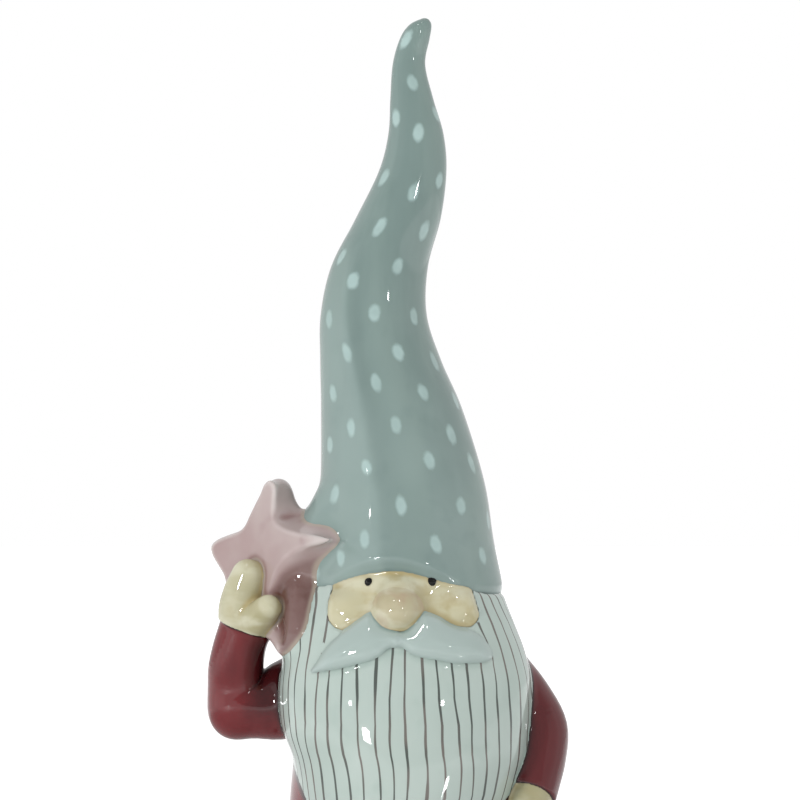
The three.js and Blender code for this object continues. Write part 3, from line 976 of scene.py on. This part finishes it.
class Nodes:
    """A material's node tree, with short calls for the nodes that the glazes share."""

    def __init__(self, name):
        self.material = bpy.data.materials.new(name)
        self.material.use_nodes = True
        self.tree = self.material.node_tree
        self.shader = self.tree.nodes["Principled BSDF"]
        self.place = self.tree.nodes.new("ShaderNodeTexCoord").outputs["Object"]

    def feed(self, socket, value):
        if isinstance(value, bpy.types.NodeSocket):
            self.tree.links.new(value, socket)
        else:
            socket.default_value = value

    def math(self, operation, a, b=0.0):
        node = self.tree.nodes.new("ShaderNodeMath")
        node.operation = operation
        self.feed(node.inputs[0], a)
        self.feed(node.inputs[1], b)
        return node.outputs[0]

    def noise(self, scale, detail=3.0, stretch=(1, 1, 1), roughness=0.5):
        mapping = self.tree.nodes.new("ShaderNodeMapping")
        mapping.inputs["Scale"].default_value = stretch
        self.feed(mapping.inputs["Vector"], self.place)
        node = self.tree.nodes.new("ShaderNodeTexNoise")
        node.inputs["Scale"].default_value = scale
        node.inputs["Detail"].default_value = detail
        node.inputs["Roughness"].default_value = roughness
        self.feed(node.inputs["Vector"], mapping.outputs["Vector"])
        return node.outputs["Fac"]

    def band(self, value, low, high, to_low=0.0, to_high=1.0):
        """to_low below low, to_high above high, and smooth between."""
        node = self.tree.nodes.new("ShaderNodeMapRange")
        node.interpolation_type = "SMOOTHSTEP"
        for name, number in (("Value", value), ("From Min", low), ("From Max", high)):
            self.feed(node.inputs[name], number)
        node.inputs["To Min"].default_value = to_low
        node.inputs["To Max"].default_value = to_high
        return node.outputs["Result"]

    def window(self, value, start, full, still_full, end):
        """1 between full and still_full, 0 before start and after end, and smooth between."""
        return self.math("MULTIPLY", self.band(value, start, full), self.band(value, end, still_full))

    def mix(self, factor, a, b):
        node = self.tree.nodes.new("ShaderNodeMix")
        node.data_type = "RGBA"
        shown = [socket for socket in node.inputs if socket.enabled]
        for socket, value in zip(shown, (factor, a, b)):
            self.feed(socket, value)
        return next(socket for socket in node.outputs if socket.enabled)

    def wash(self, colour, mask, strength, other):
        """The colour with another laid over it where the mask is 1, at the given strength."""
        return self.mix(self.math("MULTIPLY", mask, strength), colour, other)

    def attribute(self, name):
        node = self.tree.nodes.new("ShaderNodeAttribute")
        node.attribute_name = name
        return node.outputs["Fac"]

    def along(self, axis):
        node = self.tree.nodes.new("ShaderNodeSeparateXYZ")
        self.feed(node.inputs[0], self.place)
        return node.outputs[axis]

    def bump(self, height, distance, strength):
        node = self.tree.nodes.new("ShaderNodeBump")
        node.inputs["Strength"].default_value = strength
        node.inputs["Distance"].default_value = distance
        self.feed(node.inputs["Height"], height)
        self.feed(self.shader.inputs["Normal"], node.outputs["Normal"])

    def finish(self, colour, roughness=0.045, ior=1.5):
        self.feed(self.shader.inputs["Base Color"], colour)
        self.shader.inputs["Roughness"].default_value = roughness
        self.shader.inputs["IOR"].default_value = ior
        return self.material


def poured(nodes, base, deep, thin):
    """Glaze that varies slowly, pools deep in hollows and runs thin over ridges."""
    clouds = nodes.band(nodes.noise(25, 3), 0.35, 0.7)
    colour = nodes.wash(base, clouds, 0.5, thin)
    spots = nodes.band(nodes.noise(70, 2), 0.55, 0.8)
    colour = nodes.wash(colour, spots, 0.35, deep)
    bend = nodes.attribute("bend")
    colour = nodes.mix(nodes.band(bend, 0.15, 0.5), colour, thin)
    return nodes.mix(nodes.band(bend, -0.04, -0.35), colour, deep)


def waviness(nodes, strength=0.3):
    """The slow unevenness of a glazed surface."""
    nodes.bump(nodes.noise(42, 2), 0.0005, strength)


def sage_glaze():
    nodes = Nodes("sage_glaze")
    colour = poured(nodes, linear(126, 145, 141), linear(104, 125, 123), linear(146, 164, 160))
    # Painted shade: the hat is washed darker towards its tip, where less light falls.
    high = nodes.band(nodes.along("Z"), 0.51 * METRES_HIGH, 0.8 * METRES_HIGH)
    colour = nodes.wash(colour, high, 0.8, linear(114, 134, 130))
    streaks = nodes.band(nodes.noise(55, 4, (1, 1, 0.12)), 0.4, 0.65)
    colour = nodes.wash(colour, streaks, 0.4, linear(139, 158, 152))
    # Painted light and shade along the fold: lighter on the outer side of its crest, a painted reflection,
    # and darker in the hollow on its inner side, painted shade; both are stronger lower down the hat.
    fold = nodes.attribute("fold")
    low = nodes.band(nodes.along("Z"), 0.78 * METRES_HIGH, 0.66 * METRES_HIGH, 0.1, 0.38)
    beside = nodes.window(fold, -1.6, -0.3, 0.0, 0.12)
    colour = nodes.wash(colour, beside, low, linear(150, 169, 165))
    hollow = nodes.window(fold, 0.02, 0.2, 0.25, 0.7)
    colour = nodes.wash(colour, hollow, nodes.math("MULTIPLY", low, 0.6), linear(108, 129, 126))
    ragged = nodes.math("MULTIPLY", nodes.math("SUBTRACT", nodes.noise(330, 3), 0.5), 0.4)
    paint = nodes.band(nodes.math("ADD", nodes.attribute("dab"), ragged), 1.15, 0.55)
    cover = nodes.band(nodes.noise(90, 2), 0.3, 0.7, 0.65, 0.95)
    colour = nodes.wash(colour, paint, cover, linear(170, 194, 191))
    waviness(nodes, 0.35)
    return nodes.finish(colour)


def white_glaze():
    nodes = Nodes("white_glaze")
    colour = poured(nodes, linear(168, 184, 179), linear(145, 165, 160), linear(176, 191, 187))
    waviness(nodes)
    return nodes.finish(colour)


def striped_glaze():
    nodes = Nodes("striped_white_glaze")
    colour = poured(nodes, linear(180, 195, 188), linear(158, 177, 169), linear(188, 201, 195))
    phase = nodes.attribute("strand")
    off = nodes.math("ABSOLUTE", nodes.math("SUBTRACT", phase, nodes.math("ROUND", phase)))
    width = nodes.band(nodes.noise(75, 2, (1, 1, 0.5)), 0.3, 0.75, 0.045, 0.1)
    line = nodes.band(nodes.math("SUBTRACT", off, width), 0.025, -0.02)
    line = nodes.math("MULTIPLY", line, nodes.attribute("painted"))
    ink = nodes.mix(nodes.band(nodes.noise(48, 1), 0.4, 0.62), linear(54, 58, 54), linear(104, 92, 87))
    colour = nodes.wash(colour, line, 0.88, ink)
    waviness(nodes)
    return nodes.finish(colour)


def skin_glaze(name, base, stain):
    """A creamy glaze, washed thin in streaks, with stains of a second colour."""
    nodes = Nodes(name)
    colour = poured(nodes, base, linear(176, 162, 118), linear(208, 206, 180))
    washed = nodes.band(nodes.noise(62, 3, (0.6, 0.6, 1.5)), 0.5, 0.68)
    colour = nodes.wash(colour, washed, 0.7, linear(210, 208, 184))
    stained = nodes.band(nodes.noise(85, 3), 0.5, 0.7)
    colour = nodes.wash(colour, stained, 0.55, stain)
    rim = nodes.band(nodes.attribute("border"), 0.9, 0.0)
    colour = nodes.wash(colour, rim, 0.35, linear(170, 154, 114))
    waviness(nodes)
    return nodes.finish(colour)


def rose_glaze():
    nodes = Nodes("rose_glaze")
    colour = poured(nodes, linear(170, 147, 145), linear(140, 108, 106), linear(200, 190, 187))
    # The star's side walls are washed brown: partly pooled glaze and partly painted shade, strongest low on
    # the star where the walls face down into shade.
    wall = nodes.band(nodes.attribute("wall"), 0.0, 5.0)
    mottled = nodes.band(nodes.noise(60, 4), 0.35, 0.65, 0.7, 1)
    low = nodes.band(nodes.along("Z"), 0.5 * METRES_HIGH, 0.445 * METRES_HIGH, 0.38, 1)
    colour = nodes.wash(colour, wall, nodes.math("MULTIPLY", mottled, low), linear(92, 56, 48))
    luted = nodes.band(nodes.attribute("border"), 2.6, 0.4)
    colour = nodes.wash(colour, luted, 0.6, linear(176, 168, 152))
    waviness(nodes)
    return nodes.finish(colour)


# Where the bend of the raised arm is painted darker, as pooled glaze and painted shade, in shares of the
# height
ELBOW_POOL_AND_SHADE_X = (-0.16, -0.135, -0.1, -0.08)  # start, full, still full, end
ELBOW_POOL_AND_SHADE_Z = (0.32, 0.345, 0.39, 0.42)


def burgundy_glaze():
    nodes = Nodes("burgundy_glaze")
    colour = poured(nodes, linear(110, 22, 28), linear(60, 16, 20), linear(118, 46, 48))
    streaks = nodes.band(nodes.noise(55, 4, (1, 1, 0.16), 0.6), 0.42, 0.7)
    colour = nodes.wash(colour, streaks, 0.6, linear(124, 52, 52))
    dark = nodes.band(nodes.noise(38, 3, (1, 1, 0.3)), 0.5, 0.72)
    colour = nodes.wash(colour, dark, 0.6, linear(58, 16, 20))
    side, up = nodes.along("X"), nodes.along("Z")
    plum = nodes.band(side, 0.02 * METRES_HIGH, 0.12 * METRES_HIGH)
    colour = nodes.wash(colour, plum, 0.55, linear(80, 40, 42))
    # Painted shade, together with pooled glaze, darkens the bend of the raised arm near the coat.
    inner_side = nodes.window(side, *(share * METRES_HIGH for share in ELBOW_POOL_AND_SHADE_X))
    inner_up = nodes.window(up, *(share * METRES_HIGH for share in ELBOW_POOL_AND_SHADE_Z))
    pool_and_shade = nodes.math("MULTIPLY", inner_side, inner_up)
    colour = nodes.wash(colour, pool_and_shade, 0.8, linear(50, 16, 18))
    edge = nodes.band(nodes.attribute("border"), 1.4, 0.2)
    colour = nodes.mix(edge, colour, linear(44, 14, 16))
    waviness(nodes)
    return nodes.finish(colour)


def plain_glaze(name, base, worn):
    nodes = Nodes(name)
    colour = nodes.mix(nodes.band(nodes.noise(70), 0.4, 0.7), base, worn)
    waviness(nodes)
    return nodes.finish(colour, ior=1.35)


def felt_cloth():
    nodes = Nodes("felt_cloth")
    fibres = nodes.noise(900, 6, roughness=0.7)
    colour = nodes.mix(nodes.band(fibres, 0.35, 0.7), linear(57, 66, 61), linear(76, 87, 80))
    nodes.bump(fibres, 0.0006, 0.8)
    return nodes.finish(colour, 0.95)


GLAZES = {
    "sage": sage_glaze(),
    "white": white_glaze(),
    "striped": striped_glaze(),
    "skin": skin_glaze("skin_glaze", linear(194, 187, 152), linear(170, 154, 106)),
    "blush": skin_glaze("blushing_skin_glaze", linear(180, 170, 138), linear(182, 156, 132)),
    "hand": skin_glaze("hand_skin_glaze", linear(170, 164, 128), linear(168, 158, 118)),
    "rose": rose_glaze(),
    "burgundy": burgundy_glaze(),
    "black": plain_glaze("black_glaze", linear(12, 12, 12), linear(20, 20, 20)),
    "charcoal": plain_glaze("charcoal_glaze", linear(44, 41, 39), linear(60, 55, 52)),
}


# --- The pieces -----------------------------------------------------------------------------------------


def add_object(name, data):
    thing = bpy.data.objects.new(name, data)
    bpy.context.scene.collection.objects.link(thing)
    return thing


def add_piece(piece):
    mesh, points = mesh_of(piece)
    if piece.node == "hat_casting":
        add_attribute(mesh, "dab", dab_distance(points))
        add_attribute(mesh, "fold", fold_offset(*points.T))
    if piece.node == "beard_casting":
        phase, painted = strand_measures(points)
        add_attribute(mesh, "strand", phase)
        add_attribute(mesh, "painted", painted)
    if piece.node == "star":
        add_attribute(mesh, "wall", beyond_face(*points.T))
    mesh.materials.append(GLAZES[piece.glaze])
    skin = add_object(piece.node + "_glazed", mesh)
    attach(skin, "root")
    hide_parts(piece.node)


for piece in PIECES:
    add_piece(piece)

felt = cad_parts["felt_base"]
felt.material_slots[0].material = felt_cloth()

# --- Floor, light and camera ----------------------------------------------------------------------------

WHITE = (1, 1, 1, 1)
FLOOR_REACH = 60  # metres from the figure to the floor's edges
FLOOR_GLOW = {"start": 0.45, "full": 1.15, "strength": 0.6}  # from and to how many metres away, how bright
FRONT_LIGHT, BACK_LIGHT = 0.47, 0.8  # brightness of the room before and behind the figure
ROOM_TURN = 0.35  # how far before and behind the middle the room's brightness changes

# Square lamps: azimuth and elevation in degrees from the figure's front, distance, size in metres, power
LAMPS = {
    "left_lamp": (-32, 3.2, 1.4, 0.14, 5),
    "low_right_lamp": (46.2, -20.8, 0.577, 0.03, 0.1),
    "left_panel": (-68, 12, 1.6, 1.5, 2.2),
    "right_panel": (72, 8, 1.6, 1.5, 1.4),
    "high_left_lamp": (-45, 15, 1.5, 0.06, 0.6),
    "high_right_lamp": (35.4, 17.2, 1.43, 0.06, 0.8),
    "top_left_lamp": (-26, 62, 1.6, 0.1, 1.6),
    "top_right_lamp": (26, 62, 1.6, 0.1, 1.6),
}

# The camera, in degrees and in shares of the figure's height
CAMERA = {
    "azimuth": 4,
    "distance": 2.667,
    "height": 0.502,
    "aim": (-0.00578, 0, 0.6327),
    "view_width": 0.7644,
}


def add_floor():
    """A wide pale floor that glows with its own light away from the figure, more the further off it is, and
    not at all close to it.
    """
    mesh = bpy.data.meshes.new("floor")
    corners = [(-1, -1), (1, -1), (1, 1), (-1, 1)]
    points = [(x * FLOOR_REACH, y * FLOOR_REACH, CAD_LOW[2]) for x, y in corners]
    mesh.from_pydata(points, [], [(0, 1, 2, 3)])
    nodes = Nodes("floor_paper")
    colour = nodes.mix(nodes.noise(3), linear(235, 235, 235), linear(240, 240, 240))
    away = nodes.tree.nodes.new("ShaderNodeVectorMath")
    away.operation = "LENGTH"
    nodes.feed(away.inputs[0], nodes.place)
    far = away.outputs["Value"]
    glow = nodes.band(far, FLOOR_GLOW["start"], FLOOR_GLOW["full"], 0, FLOOR_GLOW["strength"])
    nodes.feed(nodes.shader.inputs["Emission Strength"], glow)
    nodes.shader.inputs["Emission Color"].default_value = WHITE
    mesh.materials.append(nodes.finish(colour, 0.9))
    add_object("floor", mesh)


def direction(azimuth, elevation):
    """Unit vector from the figure towards a point in front of it: azimuth grows towards +X."""
    a, e = math.radians(azimuth), math.radians(elevation)
    return np.array([math.sin(a) * math.cos(e), -math.cos(a) * math.cos(e), math.sin(e)])


def look_at(thing, place, target):
    thing.location = place
    thing.rotation_euler = (Vector(target) - Vector(place)).to_track_quat("-Z", "Y").to_euler()


def add_lamp(name, azimuth, elevation, distance, size, power):
    lamp = bpy.data.lights.new(name, "AREA")
    lamp.shape = "SQUARE"
    lamp.size = size
    lamp.energy = power
    thing = add_object(name, lamp)
    middle = np.array([0, 0, 0.5 * METRES_HIGH])
    look_at(thing, middle + direction(azimuth, elevation) * distance, middle)


def add_camera():
    aim = np.array(CAMERA["aim"]) * METRES_HIGH
    eye = aim + direction(CAMERA["azimuth"], 0) * CAMERA["distance"] * METRES_HIGH
    eye[2] = CAMERA["height"] * METRES_HIGH
    data = bpy.data.cameras.new("camera")
    data.lens = data.sensor_width * np.linalg.norm(eye - aim) / (CAMERA["view_width"] * METRES_HIGH)
    camera = add_object("camera", data)
    look_at(camera, eye, aim)
    bpy.context.scene.camera = camera


def add_world():
    """A room that is brighter behind the figure than in front of it, and white where a camera sees it."""
    world = bpy.data.worlds.new("studio")
    bpy.context.scene.world = world
    world.use_nodes = True
    tree = world.node_tree
    split = tree.nodes.new("ShaderNodeSeparateXYZ")
    tree.links.new(tree.nodes.new("ShaderNodeTexCoord").outputs["Generated"], split.inputs[0])
    ramp = tree.nodes.new("ShaderNodeMapRange")
    ramp.interpolation_type = "SMOOTHSTEP"
    tree.links.new(split.outputs["Y"], ramp.inputs["Value"])
    limits = {
        "From Min": -ROOM_TURN,
        "From Max": ROOM_TURN,
        "To Min": FRONT_LIGHT,
        "To Max": BACK_LIGHT,
    }
    for name, value in limits.items():
        ramp.inputs[name].default_value = value
    seen = tree.nodes.new("ShaderNodeMath")
    seen.operation = "MAXIMUM"
    tree.links.new(ramp.outputs["Result"], seen.inputs[0])
    tree.links.new(tree.nodes.new("ShaderNodeLightPath").outputs["Is Camera Ray"], seen.inputs[1])
    background = tree.nodes["Background"]
    tree.links.new(seen.outputs[0], background.inputs["Strength"])
    background.inputs["Color"].default_value = WHITE


add_floor()
add_world()
for name, setting in LAMPS.items():
    add_lamp(name, *setting)
add_camera()
bpy.context.scene.view_settings.view_transform = "Standard"
